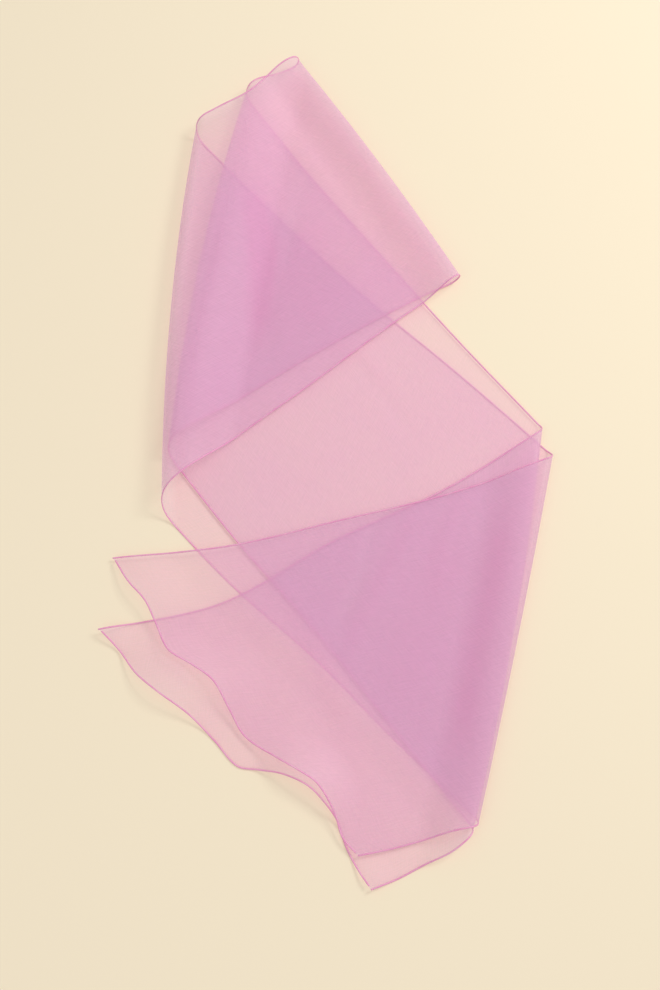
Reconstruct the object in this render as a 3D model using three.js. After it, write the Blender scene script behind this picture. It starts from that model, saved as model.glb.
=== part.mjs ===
// An organza shawl: one long strip of sheer cloth with slanting ends and a narrow rolled hem.
// It is doubled at its middle, and the doubled strip is folded back on itself twice, so it lies
// in a zigzag. Units are millimetres, +Z is up, and z = 0 is the surface that it lies on.
import * as THREE from 'three';

// Driving dimensions
const wall = 1;                 // thickness of the cloth as a solid
const seam = 0.4;              // clearance between neighbouring pieces
const hemWidth = 2.2;           // width of the rolled hem
const clothWidth = 355;         // cut width of the strip, square to its long edges
const layerStep = 2;            // height from one lying layer to the next
const settleReach = 40;         // how far past the run below a layer comes down to the surface
const endReach = 105;           // how far the waves of a free end run into the cloth
const bowReach = 80;            // how far a fold's bow runs in
const bendSteps = 6;            // facets in each quarter turn of a fold loop
const centre = { x: 0.2, y: 66.7 }; // middle of the lying shawl in the tables' own coordinates

const cloth = { color: 0xe6b4cd, roughness: 0.62, metalness: 0 };
const thread = { color: 0xcf7fb0, roughness: 0.55, metalness: 0 };

// Free ends: the corner on the long edge and the corner on the short edge.
const ends = {
  topEnd: { longX: -238, longY: -72, shortX: 29, shortY: -385 },
  underEnd: { longX: -249, longY: -151, shortX: 42, shortY: -418 },
};

// Folds: knife-sharp corner on the long edge and on the short edge, radius of the soft loop at
// each, outward bow half way along, and the distance over which the upper run comes down.
const folds = {
  rightOuter: { longX: 254, longY: 43, shortX: 158, shortY: -354, longR: 9, shortR: 10, bow: 2, landing: 50 },
  rightInner: { longX: 242, longY: 76, shortX: 150, shortY: -361, longR: 5, shortR: 5.5, bow: 7, landing: 50 },
  leftOuter: { longX: -168, longY: 457, shortX: -195, shortY: -12, longR: 12, shortR: 18, bow: 10, landing: 60 },
  leftInner: { longX: -106, longY: 509, shortX: -187, shortY: 52, longR: 8, shortR: 12, bow: 11, landing: 60 },
  middle: { longX: -35, longY: 554, shortX: 157, shortY: 263, longR: 9, shortR: 12, bow: 4, landing: 45 },
};

// Runs of the strip from one free end to the other: where each starts and stops, the layer it
// lies in, the layer it settles to where it passes the runs below, and how far its two edges
// wander sideways at a quarter, a half and three quarters of their length.
const runs = [
  { name: 'front_run_top', from: 'topEnd', to: 'rightOuter', layer: 3, settled: 1, side: 'short',
    long: [-16, -15.5, -13.5], short: [-1.5, -1, 1.5], across: 18, along: 15 },
  { name: 'middle_run_bottom', from: 'rightOuter', to: 'leftOuter', layer: 0, settled: 0, side: 'long',
    long: [2.5, 9, 7.5], short: [1, -1.5, 4.5], across: 10, along: 9 },
  { name: 'back_run_top', from: 'leftOuter', to: 'middle', layer: 3, settled: 1, side: 'long',
    long: [-3.5, -7, 0], short: [5, 4, 4.5], across: 10, along: 15 },
  { name: 'back_run_under', from: 'middle', to: 'leftInner', layer: 2, settled: 0, side: 'long',
    long: [2.5, 3, 0], short: [-7, -9, -6], across: 10, along: 15 },
  { name: 'middle_run_upper', from: 'leftInner', to: 'rightInner', layer: 1, settled: 1, side: 'long',
    long: [-6.5, -6.5, -5], short: [-2, 3, 1.5], across: 10, along: 9 },
  { name: 'front_run_under', from: 'rightInner', to: 'underEnd', layer: 2, settled: 0, side: 'short',
    long: [15.5, 17, 28.5], short: [7.5, 3.5, 3.5], across: 18, along: 15 },
];

// Upper and lower run at each fold, and the fold whose loop its upper run passes over.
const foldRuns = {
  rightOuter: { name: 'right_fold_outer', upper: 0, lower: 1, over: 'rightInner' },
  leftOuter: { name: 'left_fold_outer', upper: 2, lower: 1, over: 'leftInner' },
  middle: { name: 'middle_fold', upper: 2, lower: 3, over: 'middle' },
  leftInner: { name: 'left_fold_inner', upper: 3, lower: 4, over: 'leftInner' },
  rightInner: { name: 'right_fold_inner', upper: 5, lower: 4, over: 'rightInner' },
};

// Outline of the free ends: how far each stands out past the straight line between its corners,
// at a share of the way from the long edge to the short one.
const endOutlines = {
  topEnd: [
    { at: 0, out: 0 }, { at: 0.08, out: 4 }, { at: 0.15, out: 3 }, { at: 0.21, out: 9 },
    { at: 0.29, out: 17 }, { at: 0.36, out: 8 }, { at: 0.43, out: 1 }, { at: 0.51, out: 7 },
    { at: 0.59, out: 12.5 }, { at: 0.69, out: 0 }, { at: 0.75, out: -9 }, { at: 0.8, out: -14.5 },
    { at: 0.88, out: -9 }, { at: 0.94, out: 1 }, { at: 1, out: 0 },
  ],
  underEnd: [
    { at: 0, out: 0 }, { at: 0.08, out: 2 }, { at: 0.16, out: 7 }, { at: 0.24, out: 5 },
    { at: 0.34, out: 0 }, { at: 0.44, out: 1.5 }, { at: 0.53, out: 4 }, { at: 0.58, out: -9 },
    { at: 0.63, out: -22 }, { at: 0.7, out: -31.5 }, { at: 0.76, out: -31 }, { at: 0.82, out: -26 },
    { at: 0.88, out: -13 }, { at: 0.94, out: -5 }, { at: 1, out: 0 },
  ],
};

// Waves of the front run: where the cloth stands off the surface, and how far and how high.
// Those of the top layer are added to those that both layers share.
const sharedWaves = [
  { x: -178, y: -214, reach: 75, high: 15 },
  { x: -30, y: -322, reach: 62, high: 17 },
  { x: -246, y: -146, reach: 40, high: 9 },
  { x: 38, y: -414, reach: 36, high: 5 },
];
const topWaves = [
  { x: -200, y: -170, reach: 180, high: 4 },
  { x: -20, y: -330, reach: 180, high: 4 },
  { x: -122, y: -214, reach: 55, high: 9 },
  { x: -46, y: -292, reach: 50, high: 6 },
  { x: -205, y: -112, reach: 60, high: 8 },
];

const bottomLayer = wall / 2;
const quarterTurn = Math.PI / 2;
const smooth = (x) => THREE.MathUtils.smoothstep(x, 0, 1);
const mix = THREE.MathUtils.lerp;
const layerHeight = (layer) => bottomLayer + layer * layerStep;

// Height of the surface-hugging layers: a little clear of z = 0.
const settledHeight = (layer) => (layer === 0 ? bottomLayer + seam : bottomLayer + seam + layerStep);

function corner(key, edge) {
  const place = ends[key] ?? folds[key];
  return new THREE.Vector2(place[`${edge}X`] - centre.x, place[`${edge}Y`] - centre.y);
}

// Smooth curve through a table of { at, value } rows, with level ends where the table ends.
function through(rows, at) {
  let i = 0;
  while (i < rows.length - 2 && at > rows[i + 1].at) i += 1;
  const slope = (k) => {
    const a = rows[Math.max(k - 1, 0)];
    const b = rows[Math.min(k + 1, rows.length - 1)];
    return (b.value - a.value) / (b.at - a.at);
  };
  const span = rows[i + 1].at - rows[i].at;
  const u = (at - rows[i].at) / span;
  const start = rows[i].value * (2 * u ** 3 - 3 * u ** 2 + 1) + slope(i) * span * (u ** 3 - 2 * u ** 2 + u);
  return start + rows[i + 1].value * (3 * u ** 2 - 2 * u ** 3) + slope(i + 1) * span * (u ** 3 - u ** 2);
}

function edgeWander([quarter, half, threeQuarters], at) {
  const values = [0, quarter, half, threeQuarters, 0];
  return through(values.map((value, i) => ({ at: i / 4, value })), at);
}

// A fold's line along the cloth, its direction into the cloth, and its length.
function foldFrame(key) {
  const start = corner(key, 'long');
  const along = corner(key, 'short').sub(start);
  const length = along.length();
  along.normalize();
  const inward = new THREE.Vector2(-along.y, along.x);
  const lower = runs[foldRuns[key].lower];
  const far = corner(lower.from === key ? lower.to : lower.from, 'long');
  if (far.sub(start).dot(inward) < 0) inward.negate();
  return { start, along, inward, length };
}

const foldFrames = Object.fromEntries(Object.keys(folds).map((key) => [key, foldFrame(key)]));

// How far a plan point lies past both middle runs, on their long-edge or short-edge side.
function pastMiddleRuns(point, edge) {
  const distances = [runs[1], runs[4]].map((run) => {
    const start = corner(run.from, edge);
    const along = corner(run.to, edge).sub(start).normalize();
    const outward = new THREE.Vector2(-along.y, along.x);
    const inside = corner(run.from, edge === 'long' ? 'short' : 'long').sub(start);
    if (inside.dot(outward) > 0) outward.negate();
    return point.clone().sub(start).dot(outward);
  });
  return Math.min(...distances);
}

function waveHeight(waves, point) {
  let height = 0;
  for (const wave of waves) {
    const distance = Math.hypot(point.x + centre.x - wave.x, point.y + centre.y - wave.y);
    height += wave.high * (1 - smooth(distance / wave.reach));
  }
  return height;
}

// Bends the flat plan point of a run round the loops at its folds and gives it its height.
function bend(run, flat, across) {
  const index = runs.indexOf(run);
  const point = flat.clone();
  const lying = layerHeight(run.layer);
  const past = smooth(pastMiddleRuns(flat, run.side) / settleReach);
  const isMiddle = run === runs[1] || run === runs[4];
  const base = isMiddle ? lying : mix(lying, settledHeight(run.settled), past);
  let rise = 0;
  for (const key of [run.from, run.to]) {
    if (!folds[key]) continue;
    const { start, inward } = foldFrames[key];
    const fold = folds[key];
    const radius = mix(fold.longR, fold.shortR, across);
    const inset = Math.max(flat.clone().sub(start).dot(inward), 0);
    const angle = Math.min(inset / radius, quarterTurn);
    const inLoop = angle < quarterTurn;
    const inPlan = inLoop ? radius * (quarterTurn - Math.cos(angle)) : inset;
    const bow = fold.bow * 4 * across * (1 - across) * (1 - smooth(inset / bowReach));
    point.addScaledVector(inward, inPlan - inset - bow);
    const { upper, lower, over } = foldRuns[key];
    if (index === lower) {
      rise += inLoop ? radius * (1 - Math.sin(angle)) : 0;
    } else {
      const floor = key === 'middle' ? settledHeight(0) : layerHeight(runs[lower].layer);
      const below = foldFrames[over];
      const offset = flat.clone().sub(below.start);
      const share = THREE.MathUtils.clamp(offset.dot(below.along) / below.length, 0, 1);
      const loopTop = mix(folds[over].longR, folds[over].shortR, share) * quarterTurn;
      const open = Math.min(offset.dot(below.inward) - loopTop, inset - radius * quarterTurn);
      const down = smooth(open / fold.landing);
      rise += inLoop ? floor + radius * (1 + Math.sin(angle)) - base
        : (floor + 2 * radius - base) * (1 - down);
    }
  }
  if (run.side === 'short') rise += waveHeight(sharedWaves, point);
  if (run === runs[0]) rise += waveHeight(topWaves, point);
  return new THREE.Vector3(point.x, point.y, base + rise);
}

// A point of a run's middle surface: distances along both edges, and a share across.
function clothPoint(run, alongLong, alongShort, across) {
  const edgePoint = (edge, distance) => {
    const start = corner(run.from, edge);
    const direction = corner(run.to, edge).sub(start);
    const length = direction.length();
    direction.normalize();
    const sideways = new THREE.Vector2(-direction.y, direction.x);
    return start.addScaledVector(direction, distance)
      .addScaledVector(sideways, edgeWander(run[edge], distance / length));
  };
  const flat = edgePoint('long', alongLong).lerp(edgePoint('short', alongShort), across);
  const endKey = [run.from, run.to].find((key) => ends[key]);
  if (endKey) {
    const start = corner(endKey, 'long');
    const line = corner(endKey, 'short').sub(start).normalize();
    const outward = new THREE.Vector2(line.y, -line.x);
    const rows = endOutlines[endKey].map(({ at, out }) => ({ at, value: out }));
    const away = Math.abs(flat.clone().sub(start).dot(outward));
    flat.addScaledVector(outward, through(rows, across) * (1 - smooth(away / endReach)));
  }
  return bend(run, flat, across);
}

// Distance along an edge at which a run is a given distance in from one of its folds.
function edgeDistance(run, key, edge, inset) {
  const direction = corner(run.to, edge).sub(corner(run.from, edge)).normalize();
  return inset / Math.abs(direction.dot(foldFrames[key].inward));
}

function edgeLength(run, edge) {
  return corner(run.to, edge).distanceTo(corner(run.from, edge));
}

// One row of a run: its distance along both edges, counted from where the run starts.
function foldRow(run, key, angle, trim) {
  const distances = ['long', 'short'].map((edge) => {
    const radius = edge === 'long' ? folds[key].longR : folds[key].shortR;
    const inset = edgeDistance(run, key, edge, angle * radius + trim);
    return key === run.from ? inset : edgeLength(run, edge) - inset;
  });
  return { run, long: distances[0], short: distances[1] };
}

function endRow(run, inset) {
  const atStart = Boolean(ends[run.from]);
  const distance = (edge) => (atStart ? inset : edgeLength(run, edge) - inset);
  return { run, long: distance('long'), short: distance('short') };
}

// Rows of the open part of a run, between its loops, closer together near its two ends.
function openRows(run, trim, endTrim) {
  const first = ends[run.from] ? endRow(run, endTrim) : foldRow(run, run.from, quarterTurn, trim);
  const last = ends[run.to] ? endRow(run, endTrim) : foldRow(run, run.to, quarterTurn, trim);
  return Array.from({ length: run.along + 1 }, (_, i) => {
    const even = i / run.along;
    const share = mix(even, smooth(even), 0.5);
    return { run, long: mix(first.long, last.long, share), short: mix(first.short, last.short, share) };
  });
}

// Rows of half a fold loop, from its crest to where the run leaves it.
function loopRows(run, key, trim) {
  return Array.from({ length: bendSteps + 1 }, (_, i) => {
    const angle = quarterTurn * i / bendSteps;
    return foldRow(run, key, angle, i === bendSteps ? -trim : 0);
  });
}

// A closed wall of even thickness about the surface through the rows, between two shares across.
function wallSolid(rows, shares) {
  const grid = rows.map(({ run, long, short }) => shares.map((share) => clothPoint(run, long, short, share)));
  const count = { rows: grid.length, columns: shares.length };
  const normal = (i, j) => {
    const before = grid[Math.max(i - 1, 0)][j];
    const after = grid[Math.min(i + 1, count.rows - 1)][j];
    const left = grid[i][Math.max(j - 1, 0)];
    const right = grid[i][Math.min(j + 1, count.columns - 1)];
    return after.clone().sub(before).cross(right.clone().sub(left)).normalize();
  };
  const positions = [];
  for (const side of [1, -1]) {
    for (let i = 0; i < count.rows; i += 1) {
      for (let j = 0; j < count.columns; j += 1) {
        positions.push(...grid[i][j].clone().addScaledVector(normal(i, j), side * wall / 2).toArray());
      }
    }
  }
  const vertex = (side, i, j) => (side * count.rows + i) * count.columns + j;
  const triangles = [];
  const quad = (a, b, c, d) => triangles.push(a, b, c, a, c, d);
  for (let i = 0; i < count.rows - 1; i += 1) {
    for (let j = 0; j < count.columns - 1; j += 1) {
      quad(vertex(0, i, j), vertex(0, i + 1, j), vertex(0, i + 1, j + 1), vertex(0, i, j + 1));
      quad(vertex(1, i, j), vertex(1, i, j + 1), vertex(1, i + 1, j + 1), vertex(1, i + 1, j));
    }
    const last = count.columns - 1;
    quad(vertex(0, i, 0), vertex(1, i, 0), vertex(1, i + 1, 0), vertex(0, i + 1, 0));
    quad(vertex(0, i, last), vertex(0, i + 1, last), vertex(1, i + 1, last), vertex(1, i, last));
  }
  for (let j = 0; j < count.columns - 1; j += 1) {
    const last = count.rows - 1;
    quad(vertex(0, 0, j), vertex(0, 0, j + 1), vertex(1, 0, j + 1), vertex(1, 0, j));
    quad(vertex(0, last, j), vertex(1, last, j), vertex(1, last, j + 1), vertex(0, last, j + 1));
  }
  const geometry = new THREE.BufferGeometry();
  geometry.setAttribute('position', new THREE.Float32BufferAttribute(positions, 3));
  geometry.setIndex(triangles);
  geometry.computeVertexNormals();
  return geometry;
}

const shawl = new THREE.Group();

function addPiece(name, geometry, finish) {
  const mesh = new THREE.Mesh(geometry, new THREE.MeshStandardMaterial(finish));
  mesh.name = name;
  shawl.add(mesh);
}

function shares(from, to, steps) {
  return Array.from({ length: steps + 1 }, (_, i) => mix(from, to, i / steps));
}

const hemShare = hemWidth / clothWidth;
const clothInset = (hemWidth + seam) / clothWidth;
const trim = seam / 2;

// The panel's open stretches
for (const run of runs) {
  const rows = openRows(run, trim, hemWidth + seam);
  addPiece(run.name, wallSolid(rows, shares(clothInset, 1 - clothInset, run.across)), cloth);
}

// The panel's loops at the folds
const loopAcross = 10;
for (const [key, { name }] of Object.entries(foldRuns)) {
  const arriving = runs.find((run) => run.to === key);
  const leaving = runs.find((run) => run.from === key);
  const rows = [...loopRows(arriving, key, trim).reverse(), ...loopRows(leaving, key, trim).slice(1)];
  addPiece(name, wallSolid(rows, shares(clothInset, 1 - clothInset, loopAcross)), cloth);
}

// The rolled hems: one along each long side of the strip, and one across each free end
const hemRows = runs.flatMap((run) => {
  const open = openRows(run, 0, 0);
  const before = folds[run.from] ? loopRows(run, run.from, 0).slice(1, -1) : [];
  const after = folds[run.to] ? loopRows(run, run.to, 0).reverse().slice(1) : [];
  return [...before, ...open, ...after];
});
addPiece('hem_long_side', wallSolid(hemRows, [0, hemShare]), thread);
addPiece('hem_short_side', wallSolid(hemRows, [1 - hemShare, 1]), thread);

for (const [name, run] of [['hem_top_end', runs[0]], ['hem_under_end', runs[5]]]) {
  const rows = [endRow(run, 0), endRow(run, hemWidth)];
  if (ends[run.to]) rows.reverse();
  addPiece(name, wallSolid(rows, shares(clothInset, 1 - clothInset, run.across)), thread);
}

export default shawl;
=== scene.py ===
import math
import bpy
import numpy as np
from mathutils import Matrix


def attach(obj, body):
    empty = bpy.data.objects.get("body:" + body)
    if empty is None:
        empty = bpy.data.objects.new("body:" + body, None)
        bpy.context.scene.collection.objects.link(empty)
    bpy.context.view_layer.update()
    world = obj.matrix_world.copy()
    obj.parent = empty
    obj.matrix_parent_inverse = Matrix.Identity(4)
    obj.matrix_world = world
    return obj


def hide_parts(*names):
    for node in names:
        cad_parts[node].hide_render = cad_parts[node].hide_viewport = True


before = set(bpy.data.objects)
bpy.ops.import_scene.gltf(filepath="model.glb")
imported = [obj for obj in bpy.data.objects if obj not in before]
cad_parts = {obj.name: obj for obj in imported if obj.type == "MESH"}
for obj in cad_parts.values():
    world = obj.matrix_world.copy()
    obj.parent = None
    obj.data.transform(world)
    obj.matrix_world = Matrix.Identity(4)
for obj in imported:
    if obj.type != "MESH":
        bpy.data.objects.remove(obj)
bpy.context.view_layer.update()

mm = 0.001
quarterTurn = math.pi / 2

# The strip's own sizes, in millimetres, as the solids have them
strip = {
    "wall": 1.0, "layerStep": 2.0, "clear": 0.4, "width": 355.0, "meanLength": 2287.0,
    "settleReach": 40.0, "endReach": 105.0, "bowReach": 80.0,
    "centre": (0.2, 66.7),
    "rowPitch": 4.0,        # spacing of the mesh along the strip
    "columnCount": 84,      # columns across it
    "loopSteps": 14,        # rows in each quarter turn of a fold loop
}

freeEnds = {
    "topEnd": {"long": (-238, -72), "short": (29, -385)},
    "underEnd": {"long": (-249, -151), "short": (42, -418)},
}

folds = {
    "rightOuter": {"long": (254, 43), "short": (158, -354), "radii": (9, 10), "bow": 2, "landing": 50},
    "rightInner": {"long": (242, 76), "short": (150, -361), "radii": (5, 5.5), "bow": 7, "landing": 50},
    "leftOuter": {"long": (-168, 457), "short": (-195, -12), "radii": (12, 18), "bow": 10, "landing": 60},
    "leftInner": {"long": (-106, 509), "short": (-187, 52), "radii": (8, 12), "bow": 11, "landing": 60},
    "middle": {"long": (-35, 554), "short": (157, 263), "radii": (9, 12), "bow": 4, "landing": 45},
}

# Each run in order: its layer, its layer where it settles past the middle runs, which of its edges
# does so, how far each edge wanders a quarter, half and three quarters along, and its tone: painted shade
# that deepens the colour of the stacked runs
runs = [
    {"name": "frontTop", "from": "topEnd", "to": "rightOuter", "layer": 3, "settled": 1,
     "side": "short", "long": (-16, -15.5, -13.5), "short": (-1.5, -1, 1.5), "tone": 0.3},
    {"name": "middleBottom", "from": "rightOuter", "to": "leftOuter", "layer": 0, "settled": 0,
     "side": "long", "long": (2.5, 9, 7.5), "short": (1, -1.5, 4.5), "tone": 0.0},
    {"name": "backTop", "from": "leftOuter", "to": "middle", "layer": 3, "settled": 1,
     "side": "long", "long": (-3.5, -7, 0), "short": (5, 4, 4.5), "tone": 0.3},
    {"name": "backUnder", "from": "middle", "to": "leftInner", "layer": 2, "settled": 0,
     "side": "long", "long": (2.5, 3, 0), "short": (-7, -9, -6), "tone": 0.3},
    {"name": "middleUpper", "from": "leftInner", "to": "rightInner", "layer": 1, "settled": 1,
     "side": "long", "long": (-6.5, -6.5, -5), "short": (-2, 3, 1.5), "tone": 0.0},
    {"name": "frontUnder", "from": "rightInner", "to": "underEnd", "layer": 2, "settled": 0,
     "side": "short", "long": (15.5, 17, 28.5), "short": (5.5, 4.5, 4), "tone": 0.25},
]

# For each fold: the run above it, the run below it and the fold that the upper one drops past
foldRuns = {
    "rightOuter": (0, 1, "rightInner"), "leftOuter": (2, 1, "leftInner"), "middle": (2, 3, "middle"),
    "leftInner": (3, 4, "leftInner"), "rightInner": (5, 4, "rightInner"),
}

# How far each free end stands out past its chord, by share of the way across
endOutlines = {
    "topEnd": ((0, 0), (0.08, 4), (0.15, 3), (0.21, 9), (0.29, 17), (0.36, 8), (0.43, 1), (0.51, 7),
               (0.59, 12.5), (0.69, 0), (0.75, -9), (0.8, -14.5), (0.88, -9), (0.94, 1), (1, 0)),
    "underEnd": ((0, 0), (0.08, 2), (0.16, 7), (0.24, 5), (0.34, 0), (0.44, 1.5), (0.53, 4),
                 (0.58, -9), (0.63, -22), (0.7, -31.5), (0.76, -31), (0.82, -26), (0.88, -13),
                 (0.94, -5), (1, 0)),
}

# x, y, reach and height of the waves in the front run
sharedWaves = ((-178, -214, 75, 15), (-30, -322, 62, 17), (-246, -146, 40, 9), (38, -414, 36, 5))
topWaves = ((-200, -170, 180, 4), (-20, -330, 180, 4), (-122, -214, 55, 9), (-46, -292, 50, 6),
            (-205, -112, 60, 8))

# Soft creases by run: from x, y to x, y, how wide and how high, below nothing for a trough
creases = {
    "middleUpper": ((-95, 318, 68, 118, 22, 1.3), (-20, 250, 96, 62, 14, -0.8),
                    (-120, 250, -30, 110, 26, -0.9), (10, 330, 120, 215, 18, 0.9)),
    "backTop": ((-90, 440, -58, 190, 30, 1.2), (-40, 400, -70, 150, 16, -1.0),
                (-128, 330, -150, 120, 12, 0.8), (30, 420, 95, 300, 16, 0.7)),
    "frontTop": ((92, -10, 20, -190, 16, 1.4), (70, -6, 2, -150, 12, -1.1), (196, 20, 128, -250, 24, -1.0),
                 (150, 15, 110, -120, 14, 0.9), (-60, -90, 40, -300, 20, 0.8)),
}

# Places where the threads crowd and the colour deepens, laid out as the creases are
smudges = {
    "frontTop": ((186, -10, 138, -285, 26, 0.8), (150, -40, 60, -250, 60, 0.2)),
    "backTop": ((-92, 380, -78, 170, 26, 0.75), (-60, 330, 0, 210, 70, 0.3)),
    "middleUpper": ((-110, 190, 40, 190, 60, 0.15),),
}

bandShape = {
    "drift": 5,           # how far a crease wanders from its straight line
    "driftTurns": 5,
    "fadeRate": 3,        # how fast it fades towards its tips
    "tipStrength": 0.3,
    "creaseShade": 0.2,    # painted shade along the creases: how much the colour deepens for each millimetre of crease height, and pales in a trough
    "toneBlend": 3,       # passes that soften the colour's change round the folds
}


def smooth(x):
    x = np.clip(x, 0, 1)
    return x * x * (3 - 2 * x)


def mix(a, b, share):
    return a + (b - a) * share


# The sum of a run's soft bands at flat plan points
def bandSum(table, name, points):
    height = np.zeros(len(points))
    rate, tip = bandShape["fadeRate"], bandShape["tipStrength"]
    for x, y, farX, farY, wide, high in table.get(name, ()):
        start = np.array((x, y), float) - np.array(strip["centre"])
        along = np.array((farX - x, farY - y), float)
        length = np.linalg.norm(along)
        along /= length
        offset = points - start
        share = offset @ along / length
        drift = bandShape["drift"] * np.sin(share * bandShape["driftTurns"] + x)
        aside = np.abs(offset @ np.array([-along[1], along[0]]) + drift) / wide
        height += high * (1 - smooth(aside)) * smooth(share * rate + tip) * smooth((1 - share) * rate + tip)
    return height


# A smooth curve through the rows of a table
def through(rows, at):
    xs = np.array([r[0] for r in rows], float)
    ys = np.array([r[1] for r in rows], float)
    at = np.asarray(at, float)
    i = np.clip(np.searchsorted(xs, at, side="left") - 1, 0, len(xs) - 2)
    low = np.maximum(np.arange(len(xs)) - 1, 0)
    high = np.minimum(np.arange(len(xs)) + 1, len(xs) - 1)
    slope = (ys[high] - ys[low]) / (xs[high] - xs[low])
    span = xs[i + 1] - xs[i]
    u = (at - xs[i]) / span
    start = ys[i] * (2 * u**3 - 3 * u**2 + 1) + slope[i] * span * (u**3 - 2 * u**2 + u)
    return start + ys[i + 1] * (3 * u**2 - 2 * u**3) + slope[i + 1] * span * (u**3 - u**2)


def corner(key, edge):
    place = (freeEnds.get(key) or folds[key])[edge]
    return np.array(place, float) - np.array(strip["centre"])


def unit(v):
    return v / np.linalg.norm(v)


def foldFrame(key):
    start = corner(key, "long")
    along = corner(key, "short") - start
    length = np.linalg.norm(along)
    along = along / length
    inward = np.array([-along[1], along[0]])
    lower = runs[foldRuns[key][1]]
    far = corner(lower["to"] if lower["from"] == key else lower["from"], "long")
    if (far - start) @ inward < 0:
        inward = -inward
    return {"start": start, "along": along, "inward": inward, "length": length}


foldFrames = {key: foldFrame(key) for key in folds}


def layerHeight(layer):
    return strip["wall"] / 2 + layer * strip["layerStep"]


def settledHeight(layer):
    return strip["wall"] / 2 + strip["clear"] + (strip["layerStep"] if layer else 0)


def pastMiddleRuns(points, edge):
    nearest = None
    for run in (runs[1], runs[4]):
        start = corner(run["from"], edge)
        along = unit(corner(run["to"], edge) - start)
        outward = np.array([-along[1], along[0]])
        inside = corner(run["from"], "short" if edge == "long" else "long") - start
        if inside @ outward > 0:
            outward = -outward
        distance = (points - start) @ outward
        nearest = distance if nearest is None else np.minimum(nearest, distance)
    return nearest


def waveHeight(waves, points):
    height = np.zeros(len(points))
    for x, y, reach, high in waves:
        away = np.hypot(points[:, 0] + strip["centre"][0] - x, points[:, 1] + strip["centre"][1] - y)
        height += high * (1 - smooth(away / reach))
    return height


# Bends flat plan points of one run round its fold loops and lifts them to their layer
def bend(run, flat, across):
    point = flat.copy()
    lying = layerHeight(run["layer"])
    isMiddle = run in (runs[1], runs[4])
    past = smooth(pastMiddleRuns(flat, run["side"]) / strip["settleReach"])
    base = np.full(len(flat), lying) if isMiddle else mix(lying, settledHeight(run["settled"]), past)
    rise = np.zeros(len(flat))
    for key in (run["from"], run["to"]):
        if key not in folds:
            continue
        fold, lineFrame = folds[key], foldFrames[key]
        radius = mix(fold["radii"][0], fold["radii"][1], across)
        inset = np.maximum((flat - lineFrame["start"]) @ lineFrame["inward"], 0)
        angle = np.minimum(inset / radius, quarterTurn)
        inLoop = angle < quarterTurn - 1e-9
        inPlan = np.where(inLoop, radius * (quarterTurn - np.cos(angle)), inset)
        bow = fold["bow"] * 4 * across * (1 - across) * (1 - smooth(inset / strip["bowReach"]))
        point += lineFrame["inward"] * (inPlan - inset - bow)[:, None]
        upper, lower, over = foldRuns[key]
        if run is runs[lower]:
            rise += np.where(inLoop, radius * (1 - np.sin(angle)), 0)
        else:
            floor = settledHeight(0) if key == "middle" else layerHeight(runs[lower]["layer"])
            below = foldFrames[over]
            offset = flat - below["start"]
            share = np.clip(offset @ below["along"] / below["length"], 0, 1)
            loopTop = mix(folds[over]["radii"][0], folds[over]["radii"][1], share) * quarterTurn
            opened = np.minimum(offset @ below["inward"] - loopTop, inset - radius * quarterTurn)
            down = smooth(opened / fold["landing"])
            rise += np.where(inLoop, floor + radius * (1 + np.sin(angle)) - base,
                             (floor + 2 * radius - base) * (1 - down))
    if run["side"] == "short":
        rise += waveHeight(sharedWaves, point)
    if run is runs[0]:
        rise += waveHeight(topWaves, point)
    rise += bandSum(creases, run["name"], point)
    return np.column_stack([point, base + rise])


def edgePoints(run, edge, distance):
    start = corner(run["from"], edge)
    direction = corner(run["to"], edge) - start
    length = np.linalg.norm(direction)
    direction = direction / length
    sideways = np.array([-direction[1], direction[0]])
    quarter, halfWay, threeQuarters = run[edge]
    table = ((0, 0), (0.25, quarter), (0.5, halfWay), (0.75, threeQuarters), (1, 0))
    wander = through(table, distance / length)
    return start + direction * distance[:, None] + sideways * wander[:, None]


# Points of a run's surface from distances along its two edges and shares across
def clothPoints(run, alongLong, alongShort, across):
    flat = mix(edgePoints(run, "long", alongLong), edgePoints(run, "short", alongShort), across[:, None])
    for endKey in (run["from"], run["to"]):
        if endKey not in freeEnds:
            continue
        start = corner(endKey, "long")
        line = unit(corner(endKey, "short") - start)
        outward = np.array([line[1], -line[0]])
        away = np.abs((flat - start) @ outward)
        stand = through(endOutlines[endKey], across) * (1 - smooth(away / strip["endReach"]))
        flat = flat + outward * stand[:, None]
    return bend(run, flat, across)


def edgeLength(run, edge):
    return np.linalg.norm(corner(run["to"], edge) - corner(run["from"], edge))


def foldRow(run, key, angle):
    row = []
    for edge, radius in zip(("long", "short"), folds[key]["radii"]):
        direction = unit(corner(run["to"], edge) - corner(run["from"], edge))
        inset = angle * radius / abs(direction @ foldFrames[key]["inward"])
        row.append(inset if key == run["from"] else edgeLength(run, edge) - inset)
    return row


# Rows of one run as distances along its two edges, from where it starts to where it stops
def runRows(run):
    steps = strip["loopSteps"]
    angles = [quarterTurn * i / steps for i in range(steps + 1)]
    before = [foldRow(run, run["from"], a) for a in angles] if run["from"] in folds else [[0, 0]]
    after = [foldRow(run, run["to"], a) for a in reversed(angles)] if run["to"] in folds else [
        [edgeLength(run, "long"), edgeLength(run, "short")]]
    first, last = np.array(before[-1]), np.array(after[0])
    count = max(2, round(float(np.max(last - first)) / strip["rowPitch"]))
    between = [list(mix(first, last, i / count)) for i in range(1, count)]
    return np.array(before + between + after)
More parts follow.
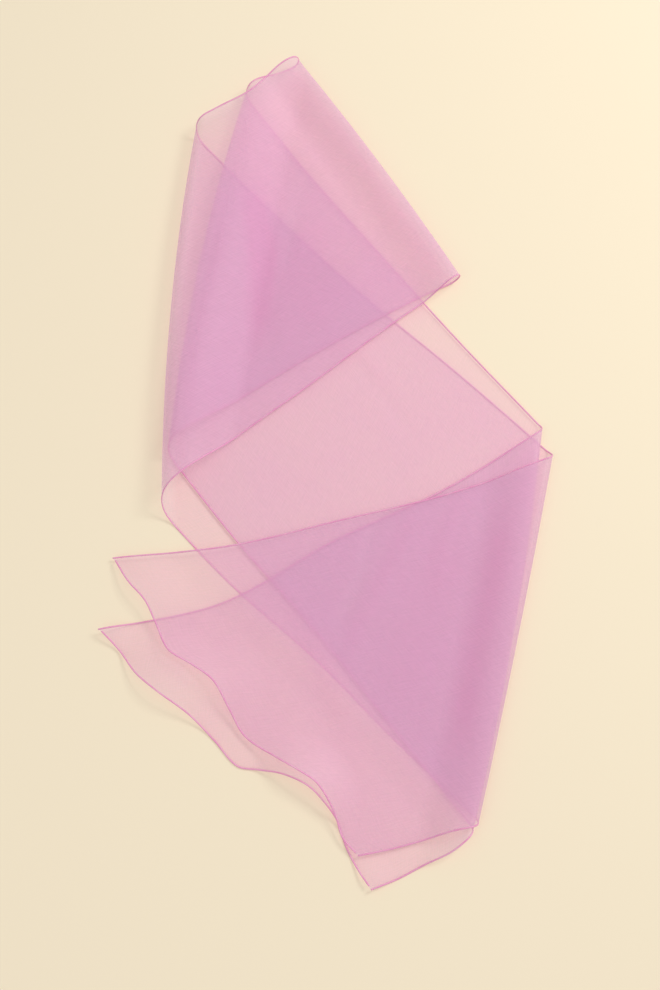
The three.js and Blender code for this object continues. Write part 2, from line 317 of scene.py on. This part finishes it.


# The whole strip as a grid: places, distance along the cloth, share across and tone, the painted shade of
# stacked layers and creases with the smudges
def stripGrid(shares):
    places, lengths, tones = [], [], []
    travelled = np.zeros(2)
    for number, run in enumerate(runs):
        rows = runRows(run)
        if number:
            rows = rows[1:]
        for alongLong, alongShort in rows:
            n = len(shares)
            places.append(clothPoints(run, np.full(n, alongLong), np.full(n, alongShort), shares))
            lengths.append(mix(travelled[0] + alongLong, travelled[1] + alongShort, shares))
            spots = places[-1][:, :2]
            # Painted shade along the creases: ridges deepen the colour and troughs pale it
            creaseShade = bandShape["creaseShade"] * bandSum(creases, run["name"], spots)
            tones.append(run["tone"] + bandSum(smudges, run["name"], spots) + creaseShade)
        travelled = travelled + np.array([edgeLength(run, "long"), edgeLength(run, "short")])
    return np.array(places), np.array(lengths), np.array(tones)


def makePiece(name, vertices, faces):
    mesh = bpy.data.meshes.new(name)
    mesh.from_pydata([tuple(v) for v in vertices], [], faces)
    mesh.validate()
    mesh.polygons.foreach_set("use_smooth", [True] * len(mesh.polygons))
    piece = bpy.data.objects.new(name, mesh)
    bpy.context.scene.collection.objects.link(piece)
    return piece


def gridFaces(rowCount, columnCount):
    faces = []
    for i in range(rowCount - 1):
        for j in range(columnCount - 1):
            here = i * columnCount + j
            above = here + columnCount
            faces.append((here, above, above + 1, here + 1))
    return faces


def addAttribute(piece, name, values):
    layer = piece.data.attributes.new(name, "FLOAT", "POINT")
    layer.data.foreach_set("value", np.asarray(values, dtype=np.float32).ravel())


def addClothMap(piece, along, across):
    uv = piece.data.uv_layers.new(name="clothMap")
    corners = np.zeros(len(piece.data.loops), dtype=np.int32)
    piece.data.loops.foreach_get("vertex_index", corners)
    pairs = np.column_stack([np.asarray(along).ravel(), np.asarray(across).ravel()])[corners]
    uv.data.foreach_set("uv", pairs.astype(np.float32).ravel())


# Materials, made of shader nodes
def newGroup(name, inputs, outputs):
    group = bpy.data.node_groups.new(name, "ShaderNodeTree")
    for label, kind, value in inputs:
        socket = group.interface.new_socket(label, in_out="INPUT", socket_type=kind)
        if value is not None:
            socket.default_value = value
    for label, kind in outputs:
        group.interface.new_socket(label, in_out="OUTPUT", socket_type=kind)
    return group


def addNode(tree, kind, **settings):
    node = tree.nodes.new(kind)
    for key, value in settings.items():
        setattr(node, key, value)
    return node


weave = {"stretch": 0.06, "threadDetail": 2.0, "cloudDetail": 3.0, "threadShare": 0.3, "cloudShare": 0.4,
         "threadScale": 900.0, "cloudScale": 14.0, "lowest": 0.4, "highest": 0.6, "bumpDistance": 0.0003}


# Uneven threads: a mask that runs along warp and weft, and a height for the bump
def makeThreadGroup():
    group = newGroup("threadUnevenness",
                     [("Thread Scale", "NodeSocketFloat", weave["threadScale"]),
                      ("Cloud Scale", "NodeSocketFloat", weave["cloudScale"])],
                     [("Mask", "NodeSocketFloat"), ("Height", "NodeSocketFloat")])
    links = group.links
    start = addNode(group, "NodeGroupInput")
    end = addNode(group, "NodeGroupOutput")
    place = addNode(group, "ShaderNodeUVMap", uv_map="clothMap")
    threads = []
    for stretch in ((1.0, weave["stretch"], 1.0), (weave["stretch"], 1.0, 1.0)):
        turn = addNode(group, "ShaderNodeVectorMath", operation="MULTIPLY")
        turn.inputs[1].default_value = stretch
        noise = addNode(group, "ShaderNodeTexNoise")
        noise.inputs["Detail"].default_value = weave["threadDetail"]
        links.new(place.outputs["UV"], turn.inputs[0])
        links.new(turn.outputs["Vector"], noise.inputs["Vector"])
        links.new(start.outputs["Thread Scale"], noise.inputs["Scale"])
        threads.append(noise)
    both = addNode(group, "ShaderNodeMath", operation="ADD")
    links.new(threads[0].outputs["Fac"], both.inputs[0])
    links.new(threads[1].outputs["Fac"], both.inputs[1])
    cloud = addNode(group, "ShaderNodeTexNoise")
    cloud.inputs["Detail"].default_value = weave["cloudDetail"]
    links.new(place.outputs["UV"], cloud.inputs["Vector"])
    links.new(start.outputs["Cloud Scale"], cloud.inputs["Scale"])
    total = addNode(group, "ShaderNodeMath", operation="MULTIPLY_ADD")
    total.inputs[1].default_value = weave["threadShare"]
    links.new(both.outputs[0], total.inputs[0])
    soft = addNode(group, "ShaderNodeMath", operation="MULTIPLY")
    soft.inputs[1].default_value = weave["cloudShare"]
    links.new(cloud.outputs["Fac"], soft.inputs[0])
    links.new(soft.outputs[0], total.inputs[2])
    links.new(total.outputs[0], end.inputs["Mask"])
    links.new(both.outputs[0], end.inputs["Height"])
    return group


threadGroup = makeThreadGroup()

# deepColour is the colour at full tone, which is mostly painted shade
organza = {"paleColour": (0.85, 0.57, 0.77, 1), "deepColour": (0.84, 0.43, 0.67, 1),
           "throughColour": (0.84, 0.59, 0.76, 1), "lightThrough": 0.4,
           "thin": 0.43, "thick": 0.54, "lightStopped": 0.17, "roughness": 0.5, "smudgeAndShadeDensity": 0.1,
           "bump": 0.12, "specular": 0.25, "sheen": 0.15, "sheenRoughness": 0.4}


def newMaterial(name):
    material = bpy.data.materials.new(name)
    material.use_nodes = True
    tree = material.node_tree
    shader = tree.nodes["Principled BSDF"]
    return material, tree, shader


def makeOrganza():
    material, tree, shader = newMaterial("organza")
    links = tree.links
    thread = addNode(tree, "ShaderNodeGroup", node_tree=threadGroup)
    tone = addNode(tree, "ShaderNodeAttribute", attribute_name="tone")
    # The tone mixes in the deep colour: painted shade on the stacked runs and along the creases, plus the
    # smudges
    colour = addNode(tree, "ShaderNodeMix", data_type="RGBA")
    colour.inputs["A"].default_value = organza["paleColour"]
    colour.inputs["B"].default_value = organza["deepColour"]
    links.new(tone.outputs["Fac"], colour.inputs["Factor"])
    links.new(colour.outputs["Result"], shader.inputs["Base Color"])
    density = addNode(tree, "ShaderNodeMapRange")
    density.inputs["From Min"].default_value = weave["lowest"]
    density.inputs["From Max"].default_value = weave["highest"]
    density.inputs["To Min"].default_value = organza["thin"]
    density.inputs["To Max"].default_value = organza["thick"]
    links.new(thread.outputs["Mask"], density.inputs["Value"])
    # Most of the light that the threads catch goes on through them, so the cloth's shadow is weak
    path = addNode(tree, "ShaderNodeLightPath")
    alpha = addNode(tree, "ShaderNodeMix", data_type="FLOAT")
    alpha.inputs["B"].default_value = organza["lightStopped"]
    links.new(path.outputs["Is Shadow Ray"], alpha.inputs["Factor"])
    # The tone, painted shade included, also makes the cloth a little less see-through
    crowdedAndShaded = addNode(tree, "ShaderNodeMath", operation="MULTIPLY_ADD")
    crowdedAndShaded.inputs[1].default_value = organza["smudgeAndShadeDensity"]
    links.new(tone.outputs["Fac"], crowdedAndShaded.inputs[0])
    links.new(density.outputs["Result"], crowdedAndShaded.inputs[2])
    links.new(crowdedAndShaded.outputs[0], alpha.inputs["A"])
    links.new(alpha.outputs["Result"], shader.inputs["Alpha"])
    bump = addNode(tree, "ShaderNodeBump")
    bump.inputs["Strength"].default_value = organza["bump"]
    bump.inputs["Distance"].default_value = weave["bumpDistance"]
    links.new(thread.outputs["Height"], bump.inputs["Height"])
    links.new(bump.outputs["Normal"], shader.inputs["Normal"])
    shader.inputs["Roughness"].default_value = organza["roughness"]
    shader.inputs["Specular IOR Level"].default_value = organza["specular"]
    shader.inputs["Sheen Weight"].default_value = organza["sheen"]
    shader.inputs["Sheen Roughness"].default_value = organza["sheenRoughness"]
    # Light that reaches the far face shows on the near one, under the same open weave
    passed = addNode(tree, "ShaderNodeBsdfTranslucent")
    passed.inputs["Color"].default_value = organza["throughColour"]
    openWeave = addNode(tree, "ShaderNodeBsdfTransparent")
    passedCloth = addNode(tree, "ShaderNodeMixShader")
    links.new(alpha.outputs["Result"], passedCloth.inputs[0])
    links.new(openWeave.outputs[0], passedCloth.inputs[1])
    links.new(passed.outputs[0], passedCloth.inputs[2])
    cloth = addNode(tree, "ShaderNodeMixShader")
    cloth.inputs[0].default_value = organza["lightThrough"]
    links.new(shader.outputs[0], cloth.inputs[1])
    links.new(passedCloth.outputs[0], cloth.inputs[2])
    links.new(cloth.outputs[0], tree.nodes["Material Output"].inputs["Surface"])
    return material


hemFinish = {"colour": (0.84, 0.30, 0.56, 1), "gapColour": (0.88, 0.46, 0.64, 1), "alpha": 0.85,
             "lightStopped": 0.3, "threadScale": 1500.0, "cloudScale": 60.0, "bump": 0.3,
             "roughness": 0.55, "sheen": 0.2}


def makeHemThread():
    material, tree, shader = newMaterial("rolledHem")
    links = tree.links
    thread = addNode(tree, "ShaderNodeGroup", node_tree=threadGroup)
    thread.inputs["Thread Scale"].default_value = hemFinish["threadScale"]
    thread.inputs["Cloud Scale"].default_value = hemFinish["cloudScale"]
    colour = addNode(tree, "ShaderNodeMix", data_type="RGBA")
    colour.inputs["A"].default_value = hemFinish["colour"]
    colour.inputs["B"].default_value = hemFinish["gapColour"]
    spread = addNode(tree, "ShaderNodeMapRange")
    spread.inputs["From Min"].default_value = weave["lowest"]
    spread.inputs["From Max"].default_value = weave["highest"]
    links.new(thread.outputs["Mask"], spread.inputs["Value"])
    links.new(spread.outputs["Result"], colour.inputs["Factor"])
    links.new(colour.outputs["Result"], shader.inputs["Base Color"])
    path = addNode(tree, "ShaderNodeLightPath")
    alpha = addNode(tree, "ShaderNodeMix", data_type="FLOAT")
    alpha.inputs["A"].default_value = hemFinish["alpha"]
    alpha.inputs["B"].default_value = hemFinish["lightStopped"]
    links.new(path.outputs["Is Shadow Ray"], alpha.inputs["Factor"])
    links.new(alpha.outputs["Result"], shader.inputs["Alpha"])
    bump = addNode(tree, "ShaderNodeBump")
    bump.inputs["Strength"].default_value = hemFinish["bump"]
    bump.inputs["Distance"].default_value = weave["bumpDistance"]
    links.new(thread.outputs["Height"], bump.inputs["Height"])
    links.new(bump.outputs["Normal"], shader.inputs["Normal"])
    shader.inputs["Roughness"].default_value = hemFinish["roughness"]
    shader.inputs["Sheen Weight"].default_value = hemFinish["sheen"]
    return material


organzaMaterial = makeOrganza()
hemMaterial = makeHemThread()
print("materials made")


# The panel: one continuous sheet
shares = np.linspace(0, 1, strip["columnCount"] + 1)
places, lengths, tones = stripGrid(shares)
rowCount, columnCount = places.shape[:2]
for blendPass in range(bandShape["toneBlend"]):
    tones[1:-1] = (tones[:-2] + tones[1:-1] + tones[2:]) / 3
panel = makePiece("shawlPanel", places.reshape(-1, 3) * mm, gridFaces(rowCount, columnCount))
# The tone attribute carries painted shade for the stacked layers and the creases, and the smudges
addAttribute(panel, "tone", tones)
addClothMap(panel, lengths * mm, np.broadcast_to(shares * strip["width"] * mm, lengths.shape))
panel.data.materials.append(organzaMaterial)
clothNodes = [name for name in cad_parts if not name.startswith("hem_")]
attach(panel, "root")
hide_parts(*clothNodes)
print("panel made", rowCount, "rows by", columnCount)


# The rolled hems: a roll along each edge, with the slanting wraps of its overcasting thread
rolledHem = {"radius": 0.85, "flatness": 0.75, "stitchPitch": 2.4, "stitchHeight": 0.14, "step": 0.8,
             "sides": 8, "sideWidth": 0.8, "inset": 0.9}


def resample(points, step):
    gaps = np.linalg.norm(np.diff(points, axis=0), axis=1)
    travelled = np.concatenate([[0], np.cumsum(gaps)])
    count = max(4, int(travelled[-1] / step))
    at = np.linspace(0, travelled[-1], count + 1)
    return np.column_stack([np.interp(at, travelled, points[:, k]) for k in range(3)]), at


def makeHem(name, edge, inner, node):
    path, at = resample(edge, rolledHem["step"])
    innerPath = resample(inner, rolledHem["step"])[0]
    share = np.linspace(0, 1, len(path))
    innerShare = np.linspace(0, 1, len(innerPath))
    innerPath = np.column_stack([np.interp(share, innerShare, innerPath[:, k]) for k in range(3)])
    ahead = np.gradient(path, axis=0)
    ahead /= np.linalg.norm(ahead, axis=1)[:, None]
    inwards = innerPath - path
    inwards -= ahead * np.sum(inwards * ahead, axis=1)[:, None]
    inwards /= np.linalg.norm(inwards, axis=1)[:, None]
    upright = np.cross(ahead, inwards)
    middle = path + inwards * rolledHem["inset"]
    sides = rolledHem["sides"]
    rings = []
    for k in range(sides):
        turn = 2 * math.pi * k / sides
        wrap = 1 + rolledHem["stitchHeight"] * np.sin(2 * math.pi * at / rolledHem["stitchPitch"] + turn)
        reach = (rolledHem["radius"] * wrap)[:, None]
        raised = upright * math.sin(turn) * rolledHem["flatness"]
        rings.append(middle + (inwards * math.cos(turn) + raised) * reach)
    vertices = np.stack(rings, axis=1)
    count = len(path)
    faces = []
    for i in range(count - 1):
        here = i * sides
        for k in range(sides):
            beside = (k + 1) % sides
            faces.append((here + k, here + beside, here + sides + beside, here + sides + k))
    faces.append(tuple(reversed(range(sides))))
    faces.append(tuple((count - 1) * sides + k for k in range(sides)))
    hem = makePiece(name, vertices.reshape(-1, 3) * mm, faces)
    along = np.repeat(at[:, None], sides, axis=1) * mm
    addClothMap(hem, along, np.broadcast_to(np.arange(sides) * rolledHem["sideWidth"] * mm, along.shape))
    hem.data.materials.append(hemMaterial)
    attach(hem, "root")
    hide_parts(node)
    return hem


hems = [
    makeHem("hemLongSide", places[:, 0], places[:, 2], "hem_long_side"),
    makeHem("hemShortSide", places[:, -1], places[:, -3], "hem_short_side"),
    makeHem("hemTopEnd", places[0, 1:-1], places[2, 1:-1], "hem_top_end"),
    makeHem("hemUnderEnd", places[-1, 1:-1], places[-3, 1:-1], "hem_under_end"),
]
print("hems made")


# Floor, light and camera
studio = {"floorColour": (0.93, 0.81, 0.61, 1), "floorSize": 6.0, "floorRoughness": 0.9,
          "floorSpecular": 0.1, "skyStrength": 0.55}
lamps = {
    "key": {"place": (2.3, 1.4, 2.3), "size": 1.0, "power": 68.0},
    "fill": {"place": (-1.2, -1.2, 1.8), "size": 1.6, "power": 8.0},
}
view = {"lens": 42.0, "sensor": 36.0, "distance": 1.288, "tilt": math.radians(15)}


def makeFloor():
    size = studio["floorSize"]
    corners = [(-size, -size, 0), (size, -size, 0), (size, size, 0), (-size, size, 0)]
    floor = makePiece("floor", corners, [(0, 1, 2, 3)])
    material, _, shader = newMaterial("paper")
    shader.inputs["Base Color"].default_value = studio["floorColour"]
    shader.inputs["Roughness"].default_value = studio["floorRoughness"]
    shader.inputs["Specular IOR Level"].default_value = studio["floorSpecular"]
    floor.data.materials.append(material)


def aimAt(piece, target):
    direction = np.array(target) - np.array(piece.location)
    yaw = math.atan2(direction[0], direction[1])
    pitch = math.atan2(direction[2], np.hypot(direction[0], direction[1]))
    piece.rotation_euler = (math.pi / 2 + pitch, 0, -yaw)


def addLamp(name, place, size, power):
    lamp = bpy.data.lights.new(name, "AREA")
    lamp.shape = "SQUARE"
    lamp.size = size
    lamp.energy = power
    holder = bpy.data.objects.new(name, lamp)
    holder.location = place
    aimAt(holder, (0, 0, 0))
    bpy.context.scene.collection.objects.link(holder)


def addCamera():
    camera = bpy.data.cameras.new("camera")
    camera.sensor_fit = "VERTICAL"
    camera.sensor_height = view["sensor"]
    camera.lens = view["lens"]
    camera.clip_start = 0.01
    holder = bpy.data.objects.new("camera", camera)
    target = (-strip["centre"][0] * mm, -strip["centre"][1] * mm, 0)
    holder.location = (target[0], target[1] - view["distance"] * math.sin(view["tilt"]),
                       view["distance"] * math.cos(view["tilt"]))
    holder.rotation_euler = (view["tilt"], 0, 0)
    bpy.context.scene.collection.objects.link(holder)
    bpy.context.scene.camera = holder


def addWorld():
    world = bpy.data.worlds.new("studio")
    world.use_nodes = True
    sky = world.node_tree.nodes["Background"]
    sky.inputs["Color"].default_value = (1, 1, 1, 1)
    sky.inputs["Strength"].default_value = studio["skyStrength"]
    bpy.context.scene.world = world


makeFloor()
for lampName, lampFacts in lamps.items():
    addLamp(lampName, lampFacts["place"], lampFacts["size"], lampFacts["power"])
addCamera()
addWorld()
bpy.context.scene.view_settings.view_transform = "Standard"
print("stage set")
